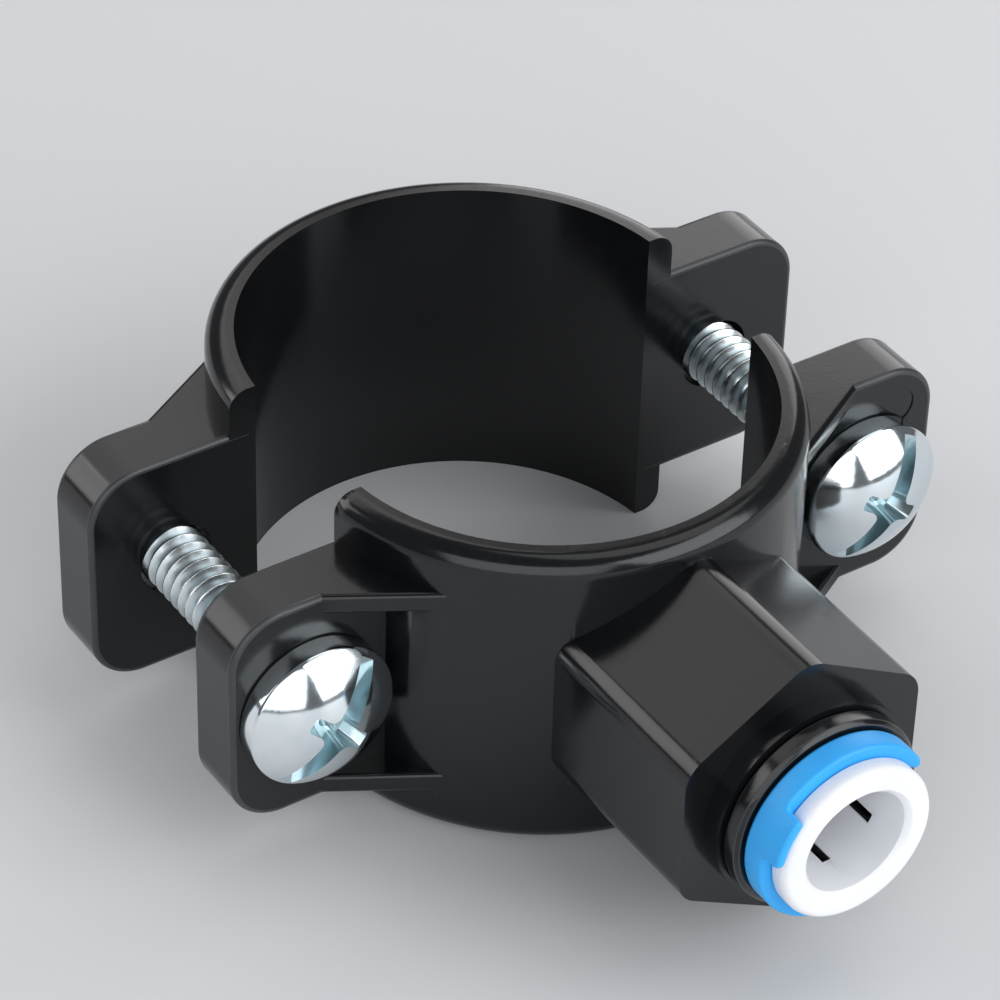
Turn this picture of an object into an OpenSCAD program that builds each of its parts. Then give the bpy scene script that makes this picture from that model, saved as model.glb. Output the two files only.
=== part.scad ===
// Drain saddle clamp: two half saddles close round a drain pipe on two screws,
// and a push-in tube port stands on the front one.
// Millimetres. Z runs along the pipe, X along the ears, and the port points along -Y.
// The origin is the centre of the front pipe seat at mid height.

/* [Pipe seat] */
// Radius of the pipe that the halves seat on
seat_r = 20; // [18:0.5:24]
// Wall of each half ring
wall_t = 2.57; // [2.2:0.1:3.2]
// Height of the half rings along the pipe
ring_h = 30.68; // [29:0.5:40]
// Rounding of the outer edges of the rings
edge_r = 1.85; // [0.6:0.05:2]
// Distance from each ring centre to its clamping face
face_gap = 2.23; // [1.5:0.1:3]
// Distance between the two ring centres, as the clamp stands open
spread = 11.76; // [6:0.5:12]

/* [Ears] */
// Reach of each ear past the outside of the ring
ear_reach = 13.43; // [12.5:0.5:16]
// Height of each ear along the pipe
ear_h = 21.66; // [20:0.5:26]
// Thickness of each ear
ear_t = 5.9; // [5:0.1:7]
// Rounding of the outer ear corners
ear_corner_r = 5; // [2:0.5:5.5]
// Rounding along the edges of the ears
ear_edge_r = 0.45; // [0.2:0.05:0.8]
// Thickness of the webs that brace each ear
web_t = 1.9; // [1.4:0.1:2.4]
// Where a web starts on the ear, measured from the outside of the ring
web_foot = 4.7; // [3.5:0.1:6]
// How far a web climbs the ring beyond the ear face
web_rise = 5.1; // [3.5:0.1:6]
// Rounding along the free edges of the webs
web_edge_r = 0.5; // [0.3:0.1:0.6]
// Radius of the round mould mark on the right front ear
mark_r = 1.9; // [1:0.1:2.5]
// Depth of the mould mark
mark_d = 0.12; // [0.05:0.01:0.3]

/* [Rear half] */
// How much wider the rear half seats on the pipe than the front half, as a radius
rear_wider = 0.5; // [0:0.1:0.6]
// Height of the rear half ring along the pipe
rear_ring_h = 31; // [30:0.5:40]
// How much further each rear ear reaches than a front one
rear_ear_more = 0.8; // [0:0.1:1.5]
// Height of each rear ear along the pipe
rear_ear_h = 22.1; // [20:0.5:26]

/* [Screws and nuts] */
// Distance of the screw axes from the outside of the ring
screw_off = 5.83; // [5.6:0.1:6.4]
// Outer radius of the screw thread
screw_r = 3; // [2.5:0.1:3.2]
// Length of a screw under its head
screw_len = 35; // [34:1:45]
// Chamfer on the screw tip
screw_tip = 0.8; // [0.3:0.1:1]
// Radius of the domed screw head
head_r = 6.85; // [6:0.1:7]
// Height of the straight rim of the head
head_rim = 2; // [0.8:0.1:2.2]
// Height of the dome on top of the rim
head_dome = 3; // [2.2:0.1:3.6]
// Width of the driver slot across the head
slot_w = 1.5; // [1:0.1:1.8]
// Depth of the driver slot below the top of the dome
slot_d = 2.5; // [1.5:0.1:2.6]
// Radius that the cross recess reaches at the dome
cross_r = 3.3; // [2.6:0.1:3.6]
// Half width of the blunt bottom of the cross recess
cross_tip = 0.6; // [0.4:0.1:1]
// Depth of the cross recess below the top of the dome
cross_d = 3.3; // [2.6:0.1:3.6]
// Angle at which the left driver slot stands
slot_angle_left = 51; // [0:1:180]
// Angle at which the right driver slot stands
slot_angle_right = 58; // [0:1:180]
// Nut size across its flats
nut_flats = 10; // [8:0.5:10]
// Height of the nuts
nut_h = 5; // [4:0.2:5.2]
// How far the nut corners are turned down at each face
nut_turned = 0.5; // [0.2:0.1:0.6]
// Depth of the six-sided nut pockets in the rear ears
pocket_d = 2.5; // [1.5:0.1:3]

/* [Port boss] */
// Size of the six-sided boss across its flats
boss_flats = 23.3; // [22:0.5:24]
// Rounding of the six long boss edges
boss_edge_r = 3; // [1:0.1:4]
// Distance of the boss face from the outside of the ring
boss_len = 15.43; // [15:0.5:20]
// Radius of the round collar on the boss face
collar_r = 9.57; // [9.4:0.1:10]
// Height of the collar
collar_h = 1.9; // [1.2:0.1:2.6]
// Radius of the water passage through the wall
passage_r = 3.4; // [2.5:0.1:3.6]

/* [Pipe seal] */
// Outer radius of the rubber seal round the passage
seal_r = 6.9; // [5.5:0.1:7]
// Depth of the seal pocket below the pipe seat
seal_d = 2.5; // [1.8:0.1:3]
// How much wider the hole in the seal is than the passage, as a radius
seal_margin = 0.6; // [0.2:0.1:1]

/* [Tube port] */
// Radius of the tube that pushes in
tube_r = 4.7625; // [4.5:0.01:4.8]
// Length of the plain socket that centres the end of the tube
socket_len = 4.2; // [3:0.1:5]
// Radius of the rubber ring's section
cord_r = 1.32; // [1.1:0.01:1.35]
// How much the rubber ring is smaller than the tube, as a radius
squeeze = 0.15; // [0.05:0.01:0.3]
// Thickness of the backing washer behind the jaws
washer_t = 1.2; // [0.8:0.1:1.6]
// Outer radius of the retainer sleeve inside the boss
sleeve_r = 7.9; // [7.8:0.05:8.1]
// Outer radius of the retainer rim
rim_r = 9.1; // [8.8:0.1:9.4]
// Height of the retainer rim
rim_h = 1.9; // [1.5:0.1:2.2]
// Chamfer along both edges of the retainer rim
rim_chamfer = 0.35; // [0.1:0.05:0.5]
// Length of the retainer's lip in front of its wedge cone
lip_len = 0.9; // [0.6:0.1:1.2]

/* [Collet] */
// Outer radius of the collet neck
neck_r = 6; // [5.9:0.05:6.1]
// Outer radius of the collet jaws
jaw_r = 6.75; // [6.6:0.05:6.8]
// Length of the full part of the jaws
jaw_len = 1.6; // [1.4:0.1:2]
// Radius of the rounded inner end of the jaws
jaw_lead = 0.4; // [0.2:0.1:0.6]
// Outer radius of the collet flange
flange_r = 7.39; // [7.1:0.05:7.6]
// Thickness of the collet flange
flange_t = 1.7; // [1.4:0.1:2.2]
// Rounding of the flange's outer face
flange_round = 0.7; // [0.3:0.05:0.8]
// Chamfer at the mouth of the collet
mouth_chamfer = 0.5; // [0.1:0.05:0.6]
// Number of jaws on the collet
jaw_count = 6; // [4:1:8]
// Width of the slits between the jaws
slit_w = 0.85; // [0.6:0.05:1]
// How far the slits run past the retainer
slit_past = 0.3; // [0:0.1:0.6]
// Angle of the first slit
slit_angle = 31.5; // [0:0.5:60]
// Thickness of the steel teeth
tooth_t = 0.35; // [0.25:0.05:0.4]
// Width of the teeth
tooth_w = 2; // [1.4:0.1:2.4]
// Length of the teeth
tooth_len = 1.5; // [1:0.1:1.6]
// Slant of the teeth from the bore's radius
tooth_slant = 62; // [50:1:70]

/* [Locking clip] */
// Thickness of the clip ring
clip_t = 2.36; // [1.8:0.02:3]
// Outer radius of the clip
clip_r = 8.5; // [8.2:0.1:8.8]
// Direction in which the clip pulls off
clip_angle = 155; // [90:1:180]
// Distance from the collet's axis to the ends of the clip's two arms
clip_arm = 5; // [4:0.1:5.4]
// Width of the thumb tab, as an angle
tab_angle = 32; // [20:1:50]

/* [Fits] */
// Radial clearance of the screws in the ears
hole_gap = 0.5; // [0.3:0.05:0.6]
// Running clearance of the nuts on the screws
thread_gap = 0.05; // [0.03:0.01:0.08]
// Clearance round the nuts in their pockets
pocket_gap = 0.1; // [0.05:0.01:0.2]
// Radial clearance round the tube in the collet
tube_gap = 0.1375; // [0.08:0.01:0.2]
// Radial clearance round the tube in its socket
socket_gap = 0.1; // [0.05:0.01:0.2]
// Clearance round the seated rings and sleeve
seat_gap = 0.05; // [0.02:0.01:0.1]
// Clearance of the clip on its neck and between its two faces
clip_gap = 0.12; // [0.1:0.01:0.2]
// Clearance of the collet in the retainer
neck_gap = 0.15; // [0.1:0.01:0.2]
// Travel of the collet before its jaws wedge
jaw_float = 0.9; // [0.6:0.05:1]
// Room behind the jaws when the collet is pressed in without its clip
press_room = 0.1; // [0.05:0.01:0.2]

/* [Hidden] */
$fn = 96;
eps = 0.01; // keeps cutting faces off the faces that they meet
over = 1; // how far a cutter runs past the piece it cuts
sunk = 1; // how far a moulded feature runs into what carries it
far = 200; // larger than the whole clamp
boss_edge_steps = 8; // flats that make up each rounded boss edge

black = [0.06, 0.065, 0.07];
zinc = [0.78, 0.82, 0.85];
rubber = [0.1, 0.1, 0.1];
steel = [0.7, 0.7, 0.68];
white = [0.93, 0.94, 0.96];
blue = [0.16, 0.6, 0.93];

ring_r = seat_r + wall_t;
ear_x = ring_r + ear_reach;
rear_seat_r = seat_r + rear_wider;
rear_ear_x = ear_x + rear_ear_more;
ear_face = face_gap + ear_t;
screw_x = ring_r + screw_off;
hole_r = screw_r + hole_gap;
rear_y = spread;
nut_corner_r = nut_flats / 2 / cos(30);
pocket_r = nut_corner_r + pocket_gap / cos(30);
nut_y = rear_y + ear_face - pocket_d;
head_top = head_rim + head_dome;
dome_r = (head_r * head_r + head_dome * head_dome) / (2 * head_dome);

boss_face = ring_r + boss_len;
boss_root = sqrt(seat_r * seat_r - boss_flats * boss_flats / 4) - sunk;
collar_face = boss_face + collar_h;
seal_floor = seat_r + seal_d;

// The port's stack hangs from the boss face: the collet's flange, the clip and the retainer
// come first, then the jaws, the washer, the rubber ring and the tube stop behind them
bore_r = tube_r + tube_gap;
socket_r = tube_r + socket_gap;
cord_mid_r = tube_r - squeeze + cord_r;
ring_bore_r = cord_mid_r + cord_r + seat_gap;
rim_y = collar_face + rim_h;
clip_room = clip_t + 2 * clip_gap;
neck_y = rim_y + clip_room;
flange_y = neck_y + flange_t;
wedge_len = 2 * (jaw_r - neck_r);
wedge_y = rim_y - lip_len - wedge_len;
jaw_end_y = wedge_y - jaw_float;
jaw_y = jaw_end_y - jaw_len;
sleeve_y = jaw_y - clip_room - press_room;
washer_y = sleeve_y - seat_gap - washer_t;
ring_seat_y = washer_y - 2 * cord_r - 2 * seat_gap;
stop_y = ring_seat_y - socket_len;

// Places something on the front of the port, at distance y from the pipe's centre
module port_at(y) {
    translate([0, -y, 0])
        rotate([90, 0, 0])
            children();
}

// A shape turned about the port's axis: its profile's Y runs out along the port
module port_turned() {
    rotate([90, 0, 0])
        rotate_extrude(convexity = 6)
            children();
}

// A bore or rod on the port's axis, from y0 to y1 outwards
module port_rod(r, y0, y1) {
    port_at(y0)
        cylinder(r = r, h = y1 - y0);
}

// Full ring block with rounded outer edges, before the pipe seat is cut
module ring_block(r, high) {
    flat_h = high - 2 * edge_r;
    cylinder(r = r, h = flat_h, center = true);
    cylinder(r = r - edge_r, h = high, center = true);
    for (side = [-1, 1])
        translate([0, 0, side * flat_h / 2])
            rotate_extrude()
                translate([r - edge_r, 0])
                    circle(r = edge_r, $fn = 48);
}

// Outline of both ears together, with rounded outer corners, drawn in by an inset
module ear_outline(reach, high, inset) {
    corner = ear_corner_r - inset;
    square([2 * (reach - inset), high - 2 * ear_corner_r], center = true);
    square([2 * (reach - ear_corner_r), high - 2 * inset], center = true);
    for (sx = [-1, 1], sz = [-1, 1])
        translate([sx * (reach - ear_corner_r), sz * (high / 2 - ear_corner_r)])
            circle(r = corner, $fn = 64);
}

// Rounded edge round one face of the ear plate: rods along its sides, rings at its corners
module ear_edge(reach, high) {
    side_x = reach - ear_edge_r;
    side_y = high / 2 - ear_edge_r;
    run_x = reach - ear_corner_r;
    run_y = high / 2 - ear_corner_r;
    for (side = [-1, 1]) {
        translate([side * side_x, 0, 0])
            rotate([90, 0, 0])
                cylinder(r = ear_edge_r, h = 2 * run_y, center = true, $fn = 32);
        translate([0, side * side_y, 0])
            rotate([0, 90, 0])
                cylinder(r = ear_edge_r, h = 2 * run_x, center = true, $fn = 32);
    }
    for (sx = [-1, 1], sy = [-1, 1])
        translate([sx * run_x, sy * run_y, 0])
            rotate_extrude($fn = 64)
                translate([ear_corner_r - ear_edge_r, 0])
                    circle(r = ear_edge_r, $fn = 32);
}

// Plate of both ears, rounded along the edges of both its faces
module ear_plate(reach, high) {
    linear_extrude(height = ear_t)
        ear_outline(reach, high, ear_edge_r);
    translate([0, 0, ear_edge_r])
        linear_extrude(height = ear_t - 2 * ear_edge_r)
            ear_outline(reach, high, 0);
    for (z = [ear_edge_r, ear_t - ear_edge_r])
        translate([0, 0, z])
            ear_edge(reach, high);
}

// Plan of one web on the +X side: its free edge runs straight from the ear face to the ring
module web_plan(seat, foot, top, along, inset) {
    inward = [-along[1], along[0]] * inset;
    mid_r = seat + wall_t / 2;
    root_y = ear_face - sunk;
    polygon([
        foot - sunk * along + inward,
        top + sunk * along + inward,
        [sqrt(mid_r * mid_r - root_y * root_y), root_y]
    ]);
}

// One web: a plate whose free edge is rounded by a rod on each face
module web(seat) {
    r = seat + wall_t;
    top_y = ear_face + web_rise;
    foot = [r + web_foot, ear_face];
    top = [sqrt(r * r - top_y * top_y), top_y];
    edge_len = norm(top - foot);
    along = (top - foot) / edge_len;
    start = foot - sunk * along + [-along[1], along[0]] * web_edge_r;
    linear_extrude(height = web_t)
        web_plan(seat, foot, top, along, web_edge_r);
    translate([0, 0, web_edge_r])
        linear_extrude(height = web_t - 2 * web_edge_r)
            web_plan(seat, foot, top, along, 0);
    for (z = [web_edge_r, web_t - web_edge_r])
        translate([start[0], start[1], z])
            rotate([0, 0, atan2(along[1], along[0])])
                rotate([0, 90, 0])
                    cylinder(r = web_edge_r, h = edge_len + 2 * sunk, $fn = 32);
}

// Half saddle with its ears and webs, on the +Y side, before holes
module saddle_half(seat, high, reach, ear_high) {
    difference() {
        union() {
            ring_block(seat + wall_t, high);
            translate([0, ear_face, 0])
                rotate([90, 0, 0])
                    ear_plate(reach, ear_high);
            for (sx = [0, 1], sz = [0, 1])
                mirror([sx, 0, 0])
                    mirror([0, 0, sz])
                        translate([0, 0, ear_high / 2 - web_t])
                            web(seat);
        }
        cylinder(r = seat, h = high + 2 * over, center = true);
        translate([-far / 2, face_gap - far, -far / 2])
            cube([far, far, far]);
    }
}

// Through holes for both screws in one pair of ears
module screw_holes() {
    for (sx = [-1, 1])
        translate([sx * screw_x, 0, 0])
            rotate([-90, 0, 0])
                cylinder(r = hole_r, h = ear_face + over);
}

// Six-sided boss with rounded long edges, points up and down
module boss_outline() {
    corner_x = (boss_flats / 2 - boss_edge_r) / cos(30);
    polygon([
        for (k = [0:5], step = [0:boss_edge_steps])
            let (side = 60 * k, turn = side + 60 * step / boss_edge_steps)
                corner_x * [cos(side + 30), sin(side + 30)] + boss_edge_r * [cos(turn), sin(turn)]
    ]);
}

module front_saddle() {
    mark_z = ear_h / 2 - ear_corner_r + mark_r / 2;
    color(black)
        difference() {
            union() {
                rotate([0, 0, 180])
                    saddle_half(seat_r, ring_h, ear_x, ear_h);
                difference() {
                    port_at(boss_root)
                        linear_extrude(height = boss_face - boss_root)
                            boss_outline();
                    cylinder(r = seat_r, h = ring_h, center = true);
                }
                port_rod(collar_r, boss_face - sunk, collar_face);
            }
            rotate([0, 0, 180])
                screw_holes();
            translate([ear_x - ear_corner_r + mark_r / 2, 0, mark_z])
                port_rod(mark_r, ear_face - mark_d, ear_face + over);
            port_rod(seal_r + seat_gap, 0, seal_floor);
            port_rod(passage_r, 0, stop_y + eps);
            port_rod(socket_r, stop_y, ring_seat_y + eps);
            port_rod(ring_bore_r, ring_seat_y, sleeve_y);
            port_rod(sleeve_r + seat_gap, sleeve_y - seat_gap, collar_face + over);
        }
}

module rear_saddle() {
    color(black)
        translate([0, rear_y, 0])
            difference() {
                saddle_half(rear_seat_r, rear_ring_h, rear_ear_x, rear_ear_h);
                screw_holes();
                for (sx = [-1, 1])
                    translate([sx * screw_x, ear_face - pocket_d, 0])
                        rotate([-90, 0, 0])
                            cylinder(r = pocket_r, h = pocket_d + over, $fn = 6);
            }
}

// Rubber seal in its pocket, its face curved to the pipe
module pipe_seal() {
    color(rubber)
        difference() {
            port_rod(seal_r, 0, seal_floor);
            cylinder(r = seat_r, h = ring_h, center = true);
            port_rod(passage_r + seal_margin, -over, seal_floor + over);
        }
}

// Domed screw with slot and cross, head on the -Y side of its bearing face
module screw(turn) {
    difference() {
        union() {
            rotate([-90, 0, 0])
                cylinder(r = screw_r, h = screw_len - screw_tip);
            translate([0, screw_len - screw_tip, 0])
                rotate([-90, 0, 0])
                    cylinder(r1 = screw_r, r2 = screw_r - screw_tip, h = screw_tip);
            rotate([90, 0, 0])
                cylinder(r = head_r, h = head_rim);
            intersection() {
                translate([0, dome_r - head_top, 0])
                    sphere(r = dome_r);
                rotate([90, 0, 0])
                    cylinder(r = head_r, h = head_top + over);
            }
        }
        rotate([0, -turn, 0]) {
            translate([-head_r - over, -head_top - over, -slot_w / 2])
                cube([2 * (head_r + over), slot_d + over, slot_w]);
            cross_recess();
        }
    }
}

// Cross recess: two tapering blades, made as wedges on the screw's axis
module cross_recess() {
    for (turn = [0, 90])
        rotate([0, turn, 0])
            translate([0, cross_d - head_top, -slot_w / 2 - eps])
                linear_extrude(height = slot_w + 2 * eps)
                    polygon([
                        [-cross_r, -cross_d - over],
                        [cross_r, -cross_d - over],
                        [cross_r, -cross_d],
                        [cross_tip, 0],
                        [-cross_tip, 0],
                        [-cross_r, -cross_d]
                    ]);
}

module screw_left() {
    color(zinc)
        translate([-screw_x, -ear_face, 0])
            screw(slot_angle_left);
}

module screw_right() {
    color(zinc)
        translate([screw_x, -ear_face, 0])
            screw(slot_angle_right);
}

// Six-sided nut with its corners turned down on both faces
module nut() {
    turned_r = nut_corner_r - nut_turned - eps;
    turned_h = nut_turned / 2;
    rotate([-90, 0, 0])
        difference() {
            intersection() {
                cylinder(r = nut_corner_r, h = nut_h, $fn = 6);
                union() {
                    cylinder(r1 = turned_r, r2 = nut_corner_r + eps, h = turned_h);
                    translate([0, 0, turned_h])
                        cylinder(r = nut_corner_r + eps, h = nut_h - 2 * turned_h);
                    translate([0, 0, nut_h - turned_h])
                        cylinder(r1 = nut_corner_r + eps, r2 = turned_r, h = turned_h);
                }
            }
            translate([0, 0, -over])
                cylinder(r = screw_r + thread_gap, h = nut_h + 2 * over);
        }
}

module nut_left() {
    color(zinc)
        translate([-screw_x, nut_y, 0])
            nut();
}

module nut_right() {
    color(zinc)
        translate([screw_x, nut_y, 0])
            nut();
}

// Retainer cap: a sleeve in the boss bore with a rim outside and a wedge cone inside
module retainer_cap() {
    color(black)
        port_turned()
            polygon([
                [jaw_r + neck_gap, sleeve_y],
                [sleeve_r, sleeve_y],
                [sleeve_r, collar_face],
                [rim_r - rim_chamfer, collar_face],
                [rim_r, collar_face + rim_chamfer],
                [rim_r, rim_y - rim_chamfer],
                [rim_r - rim_chamfer, rim_y],
                [neck_r + neck_gap, rim_y],
                [neck_r + neck_gap, wedge_y + wedge_len],
                [jaw_r + neck_gap, wedge_y]
            ]);
}

module o_ring() {
    color(rubber)
        port_turned()
            translate([cord_mid_r, ring_seat_y + seat_gap + cord_r])
                circle(r = cord_r, $fn = 48);
}

module backing_washer() {
    color(white)
        difference() {
            port_rod(ring_bore_r - seat_gap, washer_y, washer_y + washer_t);
            port_rod(bore_r + seat_gap, washer_y - over, washer_y + washer_t + over);
        }
}

// Collet: flange, neck and jaws as one turned shape, slit into jaws from the inner end
module collet() {
    slit_end = rim_y + slit_past;
    color(white)
        difference() {
            union() {
                port_turned()
                    polygon([
                        [bore_r, jaw_y],
                        [jaw_r - jaw_lead, jaw_y],
                        [jaw_r, jaw_y + jaw_lead],
                        [jaw_r, jaw_end_y],
                        [neck_r, jaw_end_y + wedge_len],
                        [neck_r, neck_y],
                        [flange_r, neck_y],
                        [flange_r, flange_y - flange_round],
                        [flange_r - flange_round, flange_y],
                        [bore_r + mouth_chamfer, flange_y],
                        [bore_r, flange_y - mouth_chamfer]
                    ]);
                port_turned()
                    translate([flange_r - flange_round, flange_y - flange_round])
                        circle(r = flange_round, $fn = 32);
            }
            for (k = [0:jaw_count - 1])
                rotate([0, -slit_angle - 360 / jaw_count * k, 0])
                    translate([bore_r - over, -slit_end, -slit_w / 2])
                        cube([jaw_r, slit_end - jaw_y + over, slit_w]);
            for (k = [1:jaw_count])
                tooth_place(k)
                    tooth_slip(seat_gap / 2);
        }
}

// Places a tooth in the middle of jaw k, with its edge at the bore
module tooth_place(k) {
    rotate([0, -slit_angle - 360 / jaw_count * (k - 0.5), 0])
        translate([bore_r, -jaw_y - jaw_len / 3, 0])
            children();
}

// One steel tooth, or its slot with a gap: a slip that leans towards the tube stop at the bore
module tooth_slip(gap) {
    start = tooth_t * tan(tooth_slant) / 2;
    rotate([0, 0, -tooth_slant])
        translate([start - gap, -tooth_t / 2 - gap, -tooth_w / 2 - gap])
            cube([tooth_len + 2 * gap, tooth_t + 2 * gap, tooth_w + 2 * gap]);
}

module tooth(k) {
    color(steel)
        tooth_place(k)
            tooth_slip(0);
}

// Everything outside the tab's angle, on both sides of its middle and behind the axis
module beside_tab() {
    for (side = [0, 1])
        rotate([0, (2 * side - 1) * tab_angle / 2, 0])
            translate([-far / 2, -far / 2, (side - 1) * far])
                cube([far, far, far]);
    translate([0, -far / 2, -far / 2])
        cube([far, far, far]);
}

// C-shaped clip between the retainer and the flange, with a thumb tab beside the flange
module locking_clip() {
    clip_y = rim_y + clip_gap;
    clip_end = clip_y + clip_t;
    mouth_r = neck_r + clip_gap;
    color(blue)
        rotate([0, 180 - clip_angle, 0])
            difference() {
                union() {
                    port_rod(clip_r, clip_y, clip_end);
                    difference() {
                        port_rod(clip_r, clip_y, flange_y);
                        port_rod(flange_r + neck_gap, clip_y - over, flange_y + over);
                        beside_tab();
                    }
                }
                port_rod(mouth_r, clip_y - over, clip_end + eps);
                translate([0, -clip_end - over, -mouth_r])
                    cube([far, clip_t + 2 * over, 2 * mouth_r]);
                translate([clip_arm, -clip_end - over, -far / 2])
                    cube([far, clip_t + 2 * over, far]);
            }
}

front_saddle();
rear_saddle();
pipe_seal();
screw_left();
screw_right();
nut_left();
nut_right();
retainer_cap();
o_ring();
backing_washer();
collet();
tooth(1);  // tooth_1
tooth(2);  // tooth_2
tooth(3);  // tooth_3
tooth(4);  // tooth_4
tooth(5);  // tooth_5
tooth(6);  // tooth_6
locking_clip();
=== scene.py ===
import math

import bmesh
import bpy
from mathutils import Matrix, Vector


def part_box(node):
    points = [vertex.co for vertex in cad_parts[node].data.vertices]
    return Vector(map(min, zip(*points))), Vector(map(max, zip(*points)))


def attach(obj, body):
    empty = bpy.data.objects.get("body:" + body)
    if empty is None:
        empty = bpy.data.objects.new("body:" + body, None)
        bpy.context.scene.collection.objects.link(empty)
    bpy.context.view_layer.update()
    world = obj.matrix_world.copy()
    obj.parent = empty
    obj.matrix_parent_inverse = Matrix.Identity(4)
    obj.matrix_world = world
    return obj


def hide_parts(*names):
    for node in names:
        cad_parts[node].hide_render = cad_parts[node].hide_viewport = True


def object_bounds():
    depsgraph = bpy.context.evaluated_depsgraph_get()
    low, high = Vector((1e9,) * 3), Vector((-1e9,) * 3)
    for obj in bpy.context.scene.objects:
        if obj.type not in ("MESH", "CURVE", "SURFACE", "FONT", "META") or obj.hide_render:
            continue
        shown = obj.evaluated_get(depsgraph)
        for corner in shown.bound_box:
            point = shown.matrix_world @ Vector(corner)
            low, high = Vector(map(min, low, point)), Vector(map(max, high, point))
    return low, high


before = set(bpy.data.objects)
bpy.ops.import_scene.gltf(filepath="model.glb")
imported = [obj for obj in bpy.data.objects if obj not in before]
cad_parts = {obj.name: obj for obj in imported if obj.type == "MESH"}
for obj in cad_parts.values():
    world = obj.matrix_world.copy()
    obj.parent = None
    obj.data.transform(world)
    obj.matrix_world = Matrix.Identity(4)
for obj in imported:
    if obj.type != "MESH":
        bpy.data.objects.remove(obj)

cadBox = [list(corner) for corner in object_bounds()]
mm = 0.001
screwX = 28.4 * mm  # the screws' axes lie this far to either side of the middle
frontFace = -8.13 * mm  # Y of the front ears' outer face, which the screw heads press on

print("camera")
photoCamera = {
    "azimuth": 34.02,  # degrees, the way the photo looks at the clamp
    "elevation": 38.06,
    "roll": 1.535,
    "focal": 4434.67,  # pixels of a frame 1000 wide
    "aside": 5.006 * mm,  # where the lens sees the pipe seat's centre
    "below": 6.427 * mm,
    "away": 385.75 * mm,
    "centreX": 483.21,  # where the lens axis meets the picture
    "centreY": 463.08,
    "frame": 1000.0,
    "sensor": 36.0,
    "near": 0.01,  # metres, what the camera shows
    "far": 50.0,
}


def addCamera(c):
    az, el, roll = (math.radians(c[k]) for k in ("azimuth", "elevation", "roll"))
    right = Vector((math.cos(az), -math.sin(az), 0))
    ahead = Vector((math.sin(az) * math.cos(el), math.cos(az) * math.cos(el), -math.sin(el)))
    down = ahead.cross(right)
    rightTurned = right * math.cos(roll) - down * math.sin(roll)
    downTurned = right * math.sin(roll) + down * math.cos(roll)
    place = -(c["aside"] * rightTurned + c["below"] * downTurned + c["away"] * ahead)
    data = bpy.data.cameras.new("camera")
    data.sensor_width = c["sensor"]
    data.lens = c["focal"] * c["sensor"] / c["frame"]
    data.shift_x = 0.5 - c["centreX"] / c["frame"]
    data.shift_y = c["centreY"] / c["frame"] - 0.5
    data.clip_start = c["near"]
    data.clip_end = c["far"]
    camera = bpy.data.objects.new("camera", data)
    bpy.context.scene.collection.objects.link(camera)
    turn = Matrix((rightTurned, -downTurned, -ahead)).transposed()
    camera.matrix_world = Matrix.Translation(place) @ turn.to_4x4()
    bpy.context.scene.camera = camera


addCamera(photoCamera)


class Wire:  # a socket that can be written into a formula
    def __init__(self, tree, socket):
        self.tree, self.socket = tree, socket

    def __add__(self, other):
        return self.tree.maths("ADD", self, other)

    def __radd__(self, other):
        return self.tree.maths("ADD", other, self)

    def __sub__(self, other):
        return self.tree.maths("SUBTRACT", self, other)

    def __rsub__(self, other):
        return self.tree.maths("SUBTRACT", other, self)

    def __mul__(self, other):
        return self.tree.maths("MULTIPLY", self, other)

    def __rmul__(self, other):
        return self.tree.maths("MULTIPLY", other, self)

    def __truediv__(self, other):
        return self.tree.maths("DIVIDE", self, other)

    def __pow__(self, other):
        return self.tree.maths("POWER", self, other)

    def clamped(self):
        return self.tree.add("ShaderNodeClamp", {}, {"Value": self})


class Tree:  # a node tree to which any node is added in one way
    def __init__(self, nodeTree):
        self.nodes, self.links = nodeTree.nodes, nodeTree.links

    def add(self, kind, settings, inputs, output=0):
        node = self.nodes.new(kind)
        for name, value in settings.items():
            setattr(node, name, value)
        for key, value in inputs.items():
            if isinstance(value, Wire):
                self.links.new(value.socket, node.inputs[key])
            else:
                node.inputs[key].default_value = value
        return Wire(self, node.outputs[output]) if len(node.outputs) else None

    def maths(self, operation, *values):
        return self.add("ShaderNodeMath", {"operation": operation}, dict(enumerate(values)))


def newMaterial(name):
    material = bpy.data.materials.new(name)
    material.use_nodes = True
    material.node_tree.nodes.clear()
    return material, Tree(material.node_tree)


def objectPlace(tree):
    return tree.add("ShaderNodeTexCoord", {}, {}, output="Object")


def axesOf(tree, place):
    split = tree.add("ShaderNodeSeparateXYZ", {}, {"Vector": place}).socket.node
    return [Wire(tree, split.outputs[axis]) for axis in "XYZ"]


def grain(tree, place, form):
    scale, detail, roughness = form
    return tree.add("ShaderNodeTexNoise", {}, {
        "Vector": place, "Scale": scale, "Detail": detail, "Roughness": roughness}, output="Fac")


def between(tree, factor, low, high):  # remaps 0..1 to two values, or blends two colours
    if isinstance(high, tuple):
        low, high = (tone if isinstance(tone, Wire) else (*tone, 1) for tone in (low, high))
        # a Mix node keeps its colours in the inputs 6 and 7 and in the output 2
        return tree.add("ShaderNodeMix", {"data_type": "RGBA"}, {
            "Factor": factor, 6: low, 7: high}, output=2)
    return tree.add("ShaderNodeMapRange", {}, {"Value": factor, "To Min": low, "To Max": high})


def spread(tree, factor, low, high):  # stretches the part of a mask from low to high over 0..1
    return tree.add("ShaderNodeMapRange", {}, {"Value": factor, "From Min": low, "From Max": high})


def bumped(tree, form, height):
    strength, depth = form
    return tree.add("ShaderNodeBump", {}, {"Strength": strength, "Distance": depth, "Height": height})


def surfaced(tree, material, inputs):
    surface = tree.add("ShaderNodeBsdfPrincipled", {}, inputs)
    tree.add("ShaderNodeOutputMaterial", {}, {"Surface": surface})
    return material


print("materials")
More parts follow.
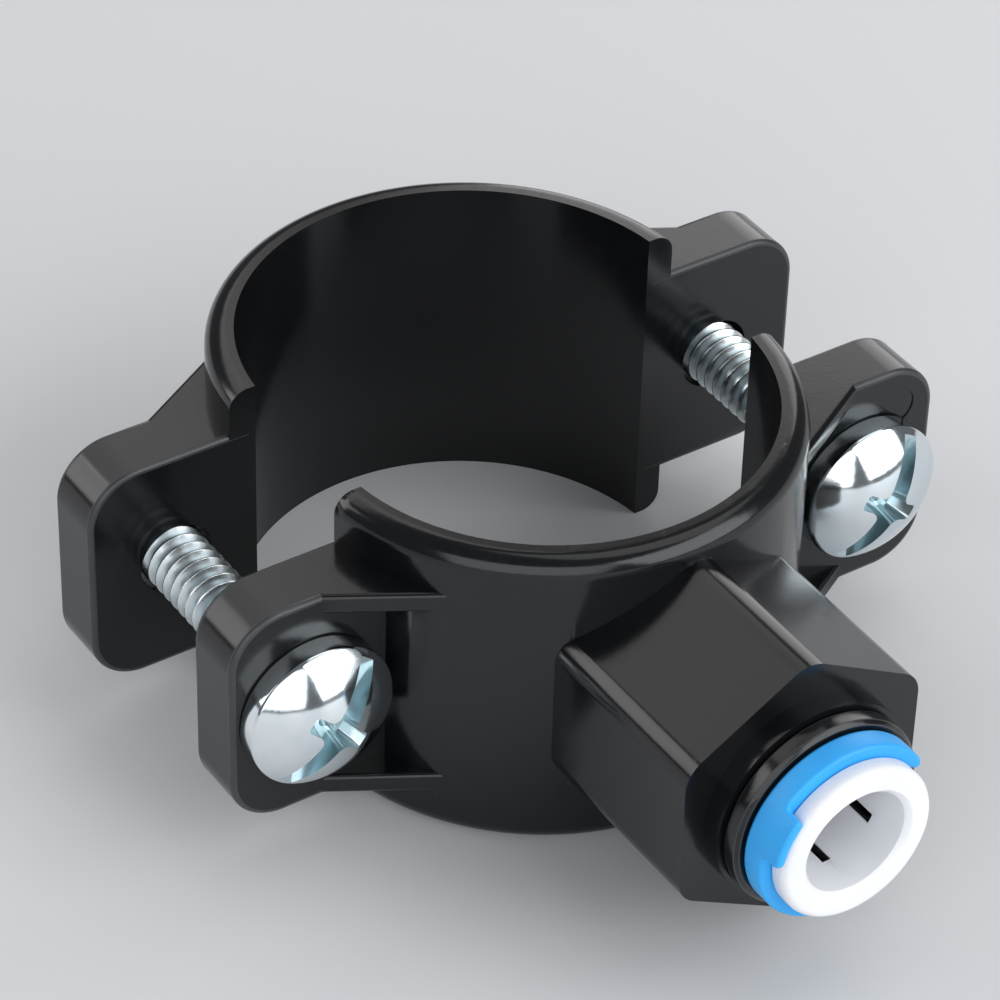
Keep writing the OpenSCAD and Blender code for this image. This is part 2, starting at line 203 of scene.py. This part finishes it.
# each noise has its scale per metre, detail and roughness, and each bump its strength and depth
blackPlastic = {
    "deep": (0.0042, 0.0047, 0.0053),
    "worn": (0.0085, 0.0093, 0.0100),
    "rough": (0.12, 0.21),
    "ior": 1.49,
    "flow": (70.0, 3.0, 0.55),  # waves where the plastic flowed
    "skin": (2600.0, 2.0, 0.6),  # fine grain of the moulded skin
    "dust": (900.0, 4.0, 0.65),
    "dusty": (0.56, 0.74),  # the stretch of that noise over which dust sets in
    "dustDulls": 0.05,
    "bump": (0.12, 0.12 * mm),
}
paintedEdgeHighlight = {  # painted highlight: moulded edges get a paler and duller finish that stands for the thin highlights along them
    **blackPlastic,
    "deep": (0.032, 0.035, 0.038),
    "worn": (0.055, 0.059, 0.062),
    "rough": (0.30, 0.40),
}


def makeBlackPlastic(name, m):
    material, tree = newMaterial(name)
    place = objectPlace(tree)
    flow = grain(tree, place, m["flow"])
    skin = grain(tree, place, m["skin"])
    dust = spread(tree, grain(tree, place, m["dust"]), *m["dusty"])
    rough = between(tree, (flow * 0.7 + skin * 0.3).clamped(), *m["rough"])
    return surfaced(tree, material, {
        "Base Color": between(tree, (dust * 0.5 + flow * 0.3).clamped(), m["deep"], m["worn"]),
        "Roughness": rough + dust * m["dustDulls"],
        "Normal": bumped(tree, m["bump"], skin * 0.25 + flow),
        "IOR": m["ior"]})


zincPlate = {
    "bright": (0.86, 0.91, 0.93),
    "cool": (0.66, 0.76, 0.81),
    "rough": (0.06, 0.16),
    "bloom": (170.0, 3.0, 0.5),
    "bloomed": (0.35, 0.70),
    "scuff": (1500.0, 4.0, 0.6),
    "bump": (0.10, 0.06 * mm),
}
zincRecess = {  # the passivation is thicker and greener in the driver slots
    **zincPlate,
    "bright": zincPlate["cool"],
    "cool": (0.55, 0.69, 0.71),
    "rough": (0.16, 0.26),
}


def makeZinc(name, m):
    material, tree = newMaterial(name)
    place = objectPlace(tree)
    bloom = spread(tree, grain(tree, place, m["bloom"]), *m["bloomed"])
    scuff = grain(tree, place, m["scuff"])
    return surfaced(tree, material, {
        "Base Color": between(tree, bloom, m["bright"], m["cool"]),
        "Metallic": 1.0,
        "Roughness": between(tree, scuff, *m["rough"]),
        "Normal": bumped(tree, m["bump"], scuff + bloom * 0.5)})


threadZinc = {
    "crest": (0.82, 0.88, 0.90),
    "root": (0.52, 0.63, 0.67),
    "rough": (0.32, 0.20),
    "rises": (2.35 * mm, 2.92 * mm),  # from the root's radius to the crest's
    "bloom": (260.0, 3.0, 0.5),
    "bloomed": (0.4, 0.6),
    "scuff": (1800.0, 3.0, 0.6),
    "bump": (0.08, 0.05 * mm),
}


def makeThreadZinc(m):  # the colour grades from darker and rougher at the roots to lighter and smoother at the crests, by the distance from the screw's axis
    material, tree = newMaterial("zincThread")
    place = objectPlace(tree)
    x, _, z = axesOf(tree, place)
    aside = tree.maths("ABSOLUTE", x) - screwX
    crest = spread(tree, (aside * aside + z * z) ** 0.5, *m["rises"])
    bloom = spread(tree, grain(tree, place, m["bloom"]), *m["bloomed"])
    scuff = grain(tree, place, m["scuff"])
    paleness = (crest * 0.75 + bloom * 0.35).clamped()
    return surfaced(tree, material, {
        "Base Color": between(tree, paleness, m["root"], m["crest"]),
        "Metallic": 1.0,
        "Roughness": between(tree, paleness, *m["rough"]) + scuff * 0.10,
        "Normal": bumped(tree, m["bump"], scuff)})


whiteAcetal = {
    "bright": (0.87, 0.88, 0.91),
    "shade": (0.82, 0.83, 0.87),
    "slit": (0.035, 0.045, 0.047),  # painted shade: the walls of the slits are painted dark, as they lie in the dark behind the bore
    "rough": (0.34, 0.48),
    "flow": (160.0, 3.0, 0.5),
    "flowed": (0.3, 0.7),
    "skin": (2400.0, 2.0, 0.6),
    "bump": (0.10, 0.08 * mm),
    "outside": (5.0 * mm, 5.06 * mm),  # the bore's radius, past which the slits' walls are painted dark as shade
    "inside": (-42.2 * mm, -42.1 * mm),  # and how far in they start to
    "scatter": 0.3,
    "scatterDepth": (1.6 * mm, 1.5 * mm, 1.4 * mm),
}


def makeWhite(m):
    material, tree = newMaterial("whiteAcetal")
    place = objectPlace(tree)
    flow = grain(tree, place, m["flow"])
    skin = grain(tree, place, m["skin"])
    x, y, z = axesOf(tree, place)
    outside = spread(tree, (x * x + z * z) ** 0.5, *m["outside"])
    inside = spread(tree, y, *m["inside"])
    white = between(tree, spread(tree, flow, *m["flowed"]), m["shade"], m["bright"])
    return surfaced(tree, material, {
        # painted shade on the slits' walls, past the bore's radius and deeper than the flange
        "Base Color": between(tree, (outside * inside).clamped(), white, m["slit"]),
        "Roughness": between(tree, skin, *m["rough"]),
        "Normal": bumped(tree, m["bump"], skin * 0.4 + flow),
        "Subsurface Weight": m["scatter"],
        "Subsurface Radius": m["scatterDepth"],
        "Subsurface Scale": 1.0})


bluePlastic = {
    "bright": (0.028, 0.420, 0.95),
    "shade": (0.022, 0.375, 0.90),
    "rough": (0.36, 0.50),
    "flow": (190.0, 3.0, 0.5),
    "flowed": (0.3, 0.7),
    "skin": (2600.0, 2.0, 0.6),
    "bump": (0.12, 0.08 * mm),
}


def makeBlue(m):
    material, tree = newMaterial("bluePlastic")
    place = objectPlace(tree)
    flow = grain(tree, place, m["flow"])
    skin = grain(tree, place, m["skin"])
    return surfaced(tree, material, {
        "Base Color": between(tree, spread(tree, flow, *m["flowed"]), m["shade"], m["bright"]),
        "Roughness": between(tree, skin, *m["rough"]),
        "Normal": bumped(tree, m["bump"], skin * 0.4 + flow)})


rubber = {
    "deep": (0.011, 0.011, 0.012),
    "pale": (0.030, 0.031, 0.033),
    "rough": (0.55, 0.75),
    "bloom": (420.0, 4.0, 0.6),
    "bloomed": (0.35, 0.75),
    "fine": (3000.0, 2.0, 0.6),
    "bump": (0.3, 0.08 * mm),
}


def makeRubber(m):
    material, tree = newMaterial("rubber")
    place = objectPlace(tree)
    bloom = spread(tree, grain(tree, place, m["bloom"]), *m["bloomed"])
    return surfaced(tree, material, {
        "Base Color": between(tree, bloom, m["deep"], m["pale"]),
        "Roughness": between(tree, bloom, *m["rough"]),
        "Normal": bumped(tree, m["bump"], grain(tree, place, m["fine"]))})


toothSteel = {
    "bright": (0.62, 0.61, 0.59),
    "dull": (0.46, 0.46, 0.45),
    "rough": (0.22, 0.40),
    "rolled": (900.0, 4.0, 0.6),
    "bump": (0.15, 0.05 * mm),
}


def makeSteel(m):
    material, tree = newMaterial("toothSteel")
    rolled = grain(tree, objectPlace(tree), m["rolled"])
    return surfaced(tree, material, {
        "Base Color": between(tree, rolled, m["dull"], m["bright"]),
        "Metallic": 1.0,
        "Roughness": between(tree, rolled, *m["rough"]),
        "Normal": bumped(tree, m["bump"], rolled)})


finishes = {
    "black": makeBlackPlastic("blackPlastic", blackPlastic),
    "paintedHighlight": makeBlackPlastic("blackPaintedHighlight", paintedEdgeHighlight),
    "zinc": makeZinc("zincPlate", zincPlate),
    "recess": makeZinc("zincRecess", zincRecess),
    "thread": makeThreadZinc(threadZinc),
    "white": makeWhite(whiteAcetal),
    "blue": makeBlue(bluePlastic),
    "rubber": makeRubber(rubber),
    "steel": makeSteel(toothSteel),
}


def newObject(name, mesh):
    made = bpy.data.objects.new(name, mesh)
    bpy.context.scene.collection.objects.link(made)
    return made


def settled(obj, name):  # the evaluated mesh as a plain object, with its modifiers gone
    depsgraph = bpy.context.evaluated_depsgraph_get()
    mesh = bpy.data.meshes.new_from_object(obj.evaluated_get(depsgraph), depsgraph=depsgraph)
    mesh.name = name
    old = obj.data
    obj.modifiers.clear()
    obj.data = mesh
    bpy.data.meshes.remove(old)
    return obj


def soften(obj, width, angle=32.0, material=-1):  # rounds every edge that bends by more than the angle
    bevel = obj.modifiers.new("bevel", "BEVEL")
    bevel.limit_method = "ANGLE"
    bevel.angle_limit = math.radians(angle)
    bevel.width = width
    bevel.segments = 2
    bevel.material = material
    bevel.harden_normals = True
    bevel.use_clamp_overlap = True
    bevel.miter_outer = "MITER_ARC"
    weighted = obj.modifiers.new("weighted", "WEIGHTED_NORMAL")
    weighted.mode = "FACE_AREA"
    weighted.keep_sharp = True


# the black mouldings' second finish is paler, painted on their rounded edges as a highlight
black = {"finish": "black", "edgeHighlight": "paintedHighlight", "slot": "black_plastic"}
zinc = {"finish": "zinc", "slot": "zinc_steel", "edge": 0.10 * mm}
mouldings = {  # each moulded or turned solid with its finish and the radius on its crisp edges
    "front_saddle": {**black, "body": "saddle", "edge": 0.10 * mm},
    "rear_saddle": {**black, "body": "rear", "edge": 0.10 * mm},
    "retainer_cap": {**black, "body": "saddle", "edge": 0.07 * mm},
    "pipe_seal": {"body": "saddle", "finish": "rubber", "slot": "rubber", "edge": 0.15 * mm},
    "locking_clip": {"body": "clip", "finish": "blue", "slot": "blue_plastic", "edge": 0.38 * mm},
    "collet": {"body": "collet", "finish": "white", "slot": "white_plastic", "edge": 0.09 * mm},
    "nut_left": {**zinc, "body": "rear"},
    "nut_right": {**zinc, "body": "rear"},
}
cleaning = {  # how the frame's mesh is cleaned before its edges are rounded
    "merge": 0.003 * mm,
    "speck": 0.001 * mm,
    "flat": 0.3,  # degrees
}

earForm = {  # the small rounding that runs round both faces of each ear plate
    "round": 0.45 * mm,
    "cover": 0.0045 * mm,  # it just covers the solid's own, where the solid has one
    "corner": 5.0 * mm,  # radius of the plate's outer corners
    "around": 32,
    "cornerSteps": 36,
    "high": {"front_saddle": 21.66 * mm, "rear_saddle": 22.10 * mm},
    # Y of each face, the side on which its plate lies, and the X from which the rounding stands clear
    "faces": {"front_saddle": ((frontFace, 1, 27.15 * mm), (-2.23 * mm, -1, 21.0 * mm)),
              "rear_saddle": ((13.99 * mm, 1, 21.0 * mm), (19.89 * mm, -1, 27.65 * mm))},
}


def addEarRounding(work, node, s):  # one closed tube along the outline of each face of each ear
    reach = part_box(node)[1][0]
    high = s["high"][node]
    radius = s["round"] + s["cover"]
    quarter = [math.radians(90.0 * k / s["cornerSteps"]) for k in range(s["cornerSteps"] + 1)]
    bend = [(math.sin(a), math.cos(a)) for a in quarter]  # upper corner, from the top edge to the outer side
    middle = (reach - s["corner"], high / 2 - s["corner"])
    turn = s["corner"] - s["round"]
    upper = [(middle[0] + turn * x, middle[1] + turn * z, x, z) for x, z in bend]
    made = []
    for faceY, inward, start in s["faces"][node]:
        y = faceY + inward * s["round"]
        path = [(start, high / 2 - s["round"], 0.0, 1.0)] + upper
        path += [(x, -z, outX, -outZ) for x, z, outX, outZ in reversed(path)]
        for side in (-1, 1):
            rings = [[work.verts.new((side * (x + radius * math.cos(b) * outX), y + radius * math.sin(b),
                                      z + radius * math.cos(b) * outZ))
                      for b in (math.tau * k / s["around"] for k in range(s["around"]))]
                     for x, z, outX, outZ in path]
            for one, two in zip(rings, rings[1:]):
                for k in range(s["around"]):
                    made.append(work.faces.new((one[k - 1], one[k], two[k], two[k - 1])))
            made += [work.faces.new(rings[0]), work.faces.new(rings[-1])]
    bmesh.ops.recalc_face_normals(work, faces=made)
    # the tubes take the second slot, the paler finish painted on as an edge highlight
    for face in made:
        face.material_index = 1


def skinOf(node, m):
    work = bmesh.new()
    work.from_mesh(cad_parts[node].data)
    bmesh.ops.remove_doubles(work, verts=work.verts, dist=cleaning["merge"])
    bmesh.ops.dissolve_degenerate(work, edges=work.edges, dist=cleaning["speck"])
    bmesh.ops.dissolve_limit(work, angle_limit=math.radians(cleaning["flat"]), verts=work.verts,
                             edges=work.edges, delimit={"NORMAL"})
    if node in earForm["high"]:
        addEarRounding(work, node, earForm)
    for face in work.faces:
        face.smooth = True
    mesh = bpy.data.meshes.new(node + "Skin")
    for look in ("finish", "edgeHighlight"):
        if look in m:
            mesh.materials.append(finishes[m[look]])
    work.to_mesh(mesh)
    work.free()
    obj = newObject(node + "_skin", mesh)
    # the rounded edges take the last slot; on black mouldings that is the paler finish painted on as an edge
    # highlight
    soften(obj, m["edge"], material=len(mesh.materials) - 1)
    settled(obj, node + "Skin")
    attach(obj, m["body"])
    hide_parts(node)


print("mouldings")
for node, m in mouldings.items():
    skinOf(node, m)

# pieces that keep the frame's own mesh
innerParts = {"o_ring": "rubber", "backing_washer": "white"}
innerParts.update({"tooth_%d" % k: "steel" for k in range(1, 7)})
for node, look in innerParts.items():
    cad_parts[node].material_slots[0].material = finishes[look]

print("screws")
screwForm = {
    "pitch": 1.25 * mm,
    "crestR": 2.98 * mm,
    "rootR": 2.34 * mm,
    "crestWide": 0.13 * mm,
    "footWide": 1.22 * mm,
    "sink": 0.2 * mm,  # how deep the ridge's foot lies in the core
    "ridgeRound": 0.05 * mm,
    "crisp": 14.0,  # degrees, so that the flanks meet in a crisp crest
    "length": 35.0 * mm,
    "tip": 0.8 * mm,
    "turnSteps": 64,
    "coreAround": 64,
    "coreAlong": 70,
    "headR": 6.85 * mm,
    "rim": 2.0 * mm,
    "dome": 3.0 * mm,
    "underRound": 0.25 * mm,
    "underSteps": 4,
    "rimRound": 0.45 * mm,
    "rimSteps": 6,
    "domeSteps": 40,
    "around": 160,
    "floor": 2.5 * mm,  # height of the slot's floor over the bearing face
    "high": 6.0 * mm,  # where the cutters end, above the dome
    # the driver recess at its floor and at that height: half width of the slot and its widening,
    # then the wings' reach, half width and corner radius
    "low": (0.72 * mm, 0.10 * mm, 1.90 * mm, 0.64 * mm, 0.50 * mm),
    "wide": (0.92 * mm, 0.18 * mm, 3.95 * mm, 0.86 * mm, 0.95 * mm),
    "cornerSteps": 6,
    "blunt": 0.45,  # radius of the wings' ends, as a share of their half width
    "bluntSteps": 3,
    "pit": 1.7 * mm,
    "pitR": 0.7 * mm,
    "pitTaper": 0.45,
    "pitAround": 24,
    "edge": 0.09 * mm,
    "softened": 28.0,  # degrees
    "turns": {"screw_left": 51.0, "screw_right": 58.0},  # degrees, as the photo shows the slots
}


def threadTree(s):
    group = bpy.data.node_groups.new("threadedRod", "GeometryNodeTree")
    face = group.interface
    face.new_socket("Geometry", in_out="OUTPUT", socket_type="NodeSocketGeometry")
    for name in ("Length", "Pitch", "Crest Radius", "Root Radius", "Crest Width", "Foot Width", "Tip"):
        face.new_socket(name, in_out="INPUT", socket_type="NodeSocketFloat")
    face.new_socket("Turn Steps", in_out="INPUT", socket_type="NodeSocketInt")
    face.new_socket("Material", in_out="INPUT", socket_type="NodeSocketMaterial")
    tree = Tree(group)
    given = group.nodes.new("NodeGroupInput")

    def value(name):
        return Wire(tree, given.outputs[name])

    def moved(geometry, **change):
        return tree.add("GeometryNodeTransform", {}, {"Geometry": geometry, **change})

    def vector(**parts):
        return tree.add("ShaderNodeCombineXYZ", {}, parts)

    length, crestR, rootR = value("Length"), value("Crest Radius"), value("Root Radius")
    midR = rootR - s["sink"]
    rise = crestR - midR
    path = tree.add("GeometryNodeCurveSpiral", {}, {
        "Resolution": value("Turn Steps"), "Rotations": length / value("Pitch"),
        "Start Radius": midR, "End Radius": midR, "Height": length})
    upright = tree.add("GeometryNodeSetCurveNormal", {"mode": "Z_UP"}, {"Curve": path})
    ridge = tree.add("GeometryNodeCurvePrimitiveQuadrilateral", {"mode": "TRAPEZOID"}, {
        "Bottom Width": value("Foot Width"), "Top Width": value("Crest Width"),
        "Height": rise, "Offset": 0.0})
    standing = moved(moved(ridge, Translation=vector(Y=rise * 0.5)), Rotation=(0, 0, math.radians(90)))
    rounded = tree.add("GeometryNodeFilletCurve", {"mode": "POLY"}, {
        "Curve": standing, "Count": 2, "Radius": s["ridgeRound"], "Limit Radius": True})
    thread = tree.add("GeometryNodeCurveToMesh", {}, {
        "Curve": upright, "Profile Curve": rounded, "Fill Caps": True})
    core = tree.add("GeometryNodeMeshCylinder", {}, {
        "Vertices": s["coreAround"], "Side Segments": s["coreAlong"], "Radius": rootR, "Depth": length})
    both = group.nodes.new("GeometryNodeJoinGeometry")
    for piece in (thread, moved(core, Translation=vector(Z=length * 0.5))):
        group.links.new(piece.socket, both.inputs[0])

    # the tip's chamfer: nothing stands further out than a cone allows, or past either end
    x, y, z = axesOf(tree, tree.add("GeometryNodeInputPosition", {}, {}))
    away = (x * x + y * y) ** 0.5
    room = tree.maths("MAXIMUM", crestR - value("Tip") + length - z, 0.0)
    shrink = tree.maths("MINIMUM", room / tree.maths("MAXIMUM", away, 0.0001 * mm), 1.0)
    flatZ = tree.maths("MINIMUM", tree.maths("MAXIMUM", z, 0.0), length)
    cut = tree.add("GeometryNodeSetPosition", {}, {
        "Geometry": Wire(tree, both.outputs[0]), "Position": vector(X=x * shrink, Y=y * shrink, Z=flatZ)})
    painted = tree.add("GeometryNodeSetMaterial", {}, {"Geometry": cut, "Material": value("Material")})
    out = group.nodes.new("NodeGroupOutput")
    group.links.new(painted.socket, out.inputs[0])
    return group


def threadedRod(name, s, group):
    obj = newObject(name, bpy.data.meshes.new(name))
    modifier = obj.modifiers.new("thread", "NODES")
    modifier.node_group = group
    wanted = {
        "Length": s["length"], "Pitch": s["pitch"], "Crest Radius": s["crestR"],
        "Root Radius": s["rootR"], "Crest Width": s["crestWide"], "Foot Width": s["footWide"],
        "Tip": s["tip"], "Turn Steps": s["turnSteps"], "Material": finishes["thread"],
    }
    for item in group.interface.items_tree:
        if item.in_out == "INPUT":
            modifier[item.identifier] = wanted[item.name]
    settled(obj, name)
    obj.data.shade_smooth()
    obj.data.set_sharp_from_angle(angle=math.radians(s["crisp"]))
    return obj


def headProfile(s):  # radius and height, from the axis under the head round to the apex
    r, rim, dome, under, f = (s[k] for k in ("headR", "rim", "dome", "underRound", "rimRound"))
    domeR = (r * r + dome * dome) / (2 * dome)
    centre = rim + dome - domeR
    points = [(0, 0), (s["rootR"], 0)]
    for k in range(s["underSteps"] + 1):  # rounded edge under the head
        a = math.radians(-90 + 90 * k / s["underSteps"])
        points.append((r - under + under * math.cos(a), under + under * math.sin(a)))
    # a fillet between the rim and the dome, tangent to both
    fx = r - f
    fy = centre + math.sqrt((domeR - f) ** 2 - fx * fx)
    endA = math.atan2(fy - centre, fx)
    for k in range(s["rimSteps"] + 1):
        a = endA * k / s["rimSteps"]
        points.append((fx + f * math.cos(a), fy + f * math.sin(a)))
    for k in range(1, s["domeSteps"]):
        a = endA + (math.pi / 2 - endA) * k / s["domeSteps"]
        points.append((domeR * math.cos(a), centre + domeR * math.sin(a)))
    return points + [(0, rim + dome)]


def circle(r, count):
    if r == 0:
        return [(0, 0)]
    return [(r * math.cos(math.tau * k / count), r * math.sin(math.tau * k / count)) for k in range(count)]


def recessOutline(s, form):  # slot along X with rounded inner corners into two wings along Y
    slot, widening, reach, wing, corner = form
    far = s["headR"] + 1 * mm  # past the head's rim
    near = slot + widening
    blunt = s["blunt"] * wing
    quarter = [(far, slot)]
    for k in range(s["cornerSteps"] + 1):
        a = math.radians(270 - 90 * k / s["cornerSteps"])
        quarter.append((wing + corner * (1 + math.cos(a)), near + corner * (1 + math.sin(a))))
    for k in range(s["bluntSteps"] + 1):
        a = math.radians(90 * k / s["bluntSteps"])
        quarter.append((wing - blunt * (1 - math.cos(a)), reach - blunt * (1 - math.sin(a))))
    half = quarter + [(-x, y) for x, y in reversed(quarter)]
    return half + [(-x, -y) for x, y in half]


def lofted(name, outlines, heights, material):  # an outline may be a single point, and open ends are closed
    work = bmesh.new()
    rings = [[work.verts.new((x, y, z)) for x, y in outline] for outline, z in zip(outlines, heights)]
    count = max(len(ring) for ring in rings)
    for low, high in zip(rings, rings[1:]):
        for k in range(count):
            n = (k + 1) % count
            corners = (low[k % len(low)], low[n % len(low)], high[n % len(high)], high[k % len(high)])
            work.faces.new(list(dict.fromkeys(corners)))
    for ring in (rings[0][::-1], rings[-1]):
        if len(ring) > 1:
            work.faces.new(ring)
    bmesh.ops.recalc_face_normals(work, faces=work.faces)
    mesh = bpy.data.meshes.new(name)
    work.to_mesh(mesh)
    work.free()
    mesh.materials.append(material)
    return newObject(name, mesh)


def screwHead(name, s, turn):  # built with its bearing face at Z 0 and its apex up
    profile = headProfile(s)
    outlines = [circle(r, s["around"]) for r, h in profile]
    head = lofted(name, outlines, [h for r, h in profile], finishes["zinc"])
    head.data.materials.append(finishes["recess"])
    slot = [recessOutline(s, s["low"]), recessOutline(s, s["wide"])]
    pit = [circle(r, s["pitAround"]) for r in (s["pitTaper"] * s["pitR"], s["pitR"], s["pitR"])]
    cutters = [
        lofted(name + "Recess", slot, (s["floor"], s["high"]), finishes["recess"]),
        lofted(name + "Pit", pit, (s["pit"], s["floor"], s["high"]), finishes["recess"]),
    ]
    for cutter in cutters:
        cutter.data.transform(Matrix.Rotation(turn, 4, "Z"))
        cut = head.modifiers.new("cut", "BOOLEAN")
        cut.operation = "DIFFERENCE"
        cut.solver = "EXACT"
        cut.object = cutter
        cut.material_mode = "TRANSFER"
    settled(head, name)
    for cutter in cutters:
        bpy.data.objects.remove(cutter)
    head.data.shade_smooth()
    soften(head, s["edge"], angle=s["softened"])
    return settled(head, name)


def joined(name, parts):
    mesh = bpy.data.meshes.new(name)
    work = bmesh.new()
    slots = []
    for part in parts:
        used = list(part.data.materials)
        for m in used:
            if m not in slots:
                slots.append(m)
        first = len(work.faces)
        work.from_mesh(part.data)
        work.faces.ensure_lookup_table()
        for face in work.faces[first:]:
            face.material_index = slots.index(used[face.material_index])
    work.to_mesh(mesh)
    work.free()
    for m in slots:
        mesh.materials.append(m)
    for part in parts:
        bpy.data.objects.remove(part)
    return newObject(name, mesh)


def makeScrew(node, side, s, group):
    rod = threadedRod(node + "Rod", s, group)
    head = screwHead(node + "Head", s, math.radians(s["turns"][node]))
    # Z runs from the bearing face: the rod points to +Y, and the head to -Y
    rod.data.transform(Matrix.Rotation(math.radians(-90), 4, "X"))
    head.data.transform(Matrix.Rotation(math.radians(90), 4, "X"))
    screw = joined(node + "_made", [rod, head])
    screw.data.transform(Matrix.Translation((side * screwX, frontFace, 0)))
    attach(screw, node)
    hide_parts(node)


rodTree = threadTree(screwForm)
makeScrew("screw_left", -1, screwForm, rodTree)
makeScrew("screw_right", 1, screwForm, rodTree)

print("stage and light")
stage = {
    "pale": (0.70, 0.71, 0.725),
    "mottle": 0.99,
    "tone": (14.0, 3.0, 0.5),
    "rough": (0.55, 0.65),
    "half": 3.0,  # metres
}


def makeStage(s):
    material, tree = newMaterial("paleFloor")
    tone = grain(tree, objectPlace(tree), s["tone"])
    surfaced(tree, material, {
        "Base Color": between(tree, tone, tuple(s["mottle"] * c for c in s["pale"]), s["pale"]),
        "Roughness": between(tree, tone, *s["rough"])})
    mesh = bpy.data.meshes.new("floor")
    h, low = s["half"], cadBox[0][2]
    mesh.from_pydata([(-h, -h, low), (h, -h, low), (h, h, low), (-h, h, low)], [], [(0, 1, 2, 3)])
    mesh.materials.append(material)
    newObject("floor", mesh)


warm, neutral, cool = (1.0, 0.985, 0.99), (1.0, 1.0, 1.0), (0.97, 0.985, 1.0)
lamps = [  # name, direction and distance of each soft box, its size, brightness and tint
    ("backBox", (-0.03, 0.68, 0.70), 0.95, (0.90, 0.42), 1.2, warm),
    ("rightBack", (0.68, 0.62, 0.33), 0.90, (0.42, 0.58), 2.3, warm),
    ("leftBack", (-0.62, 0.64, 0.36), 0.90, (0.42, 0.52), 2.7, warm),
    ("overhead", (0.34, -0.04, 0.94), 0.80, (0.52, 0.56), 1.1, neutral),
    ("frontLeft", (-0.62, -0.74, 0.44), 0.90, (1.05, 0.72), 1.8, cool),
    ("frontRight", (0.43, -0.73, 0.46), 0.90, (0.84, 0.78), 3.1, cool),
]


def addLamps(rows):
    for name, way, away, size, glow, tint in rows:
        data = bpy.data.lights.new(name, "AREA")
        data.shape = "RECTANGLE"
        data.size, data.size_y = size
        data.energy = glow * math.pi * size[0] * size[1]  # a box of any size is as bright as its glow
        data.color = tint
        lamp = bpy.data.objects.new(name, data)
        bpy.context.scene.collection.objects.link(lamp)
        lamp.location = Vector(way).normalized() * away
        lamp.rotation_euler = (-Vector(way)).to_track_quat("-Z", "Y").to_euler()


studio = {"air": (0.90, 0.92, 0.95, 1), "strength": 0.15}


def makeWorld(s):
    world = bpy.data.worlds.new("studio")
    world.use_nodes = True
    world.node_tree.nodes.clear()
    tree = Tree(world.node_tree)
    back = tree.add("ShaderNodeBackground", {}, {"Color": s["air"], "Strength": s["strength"]})
    tree.add("ShaderNodeOutputWorld", {}, {"Surface": back})
    bpy.context.scene.world = world


makeStage(stage)
addLamps(lamps)
makeWorld(studio)
bpy.context.scene.view_settings.view_transform = "Standard"
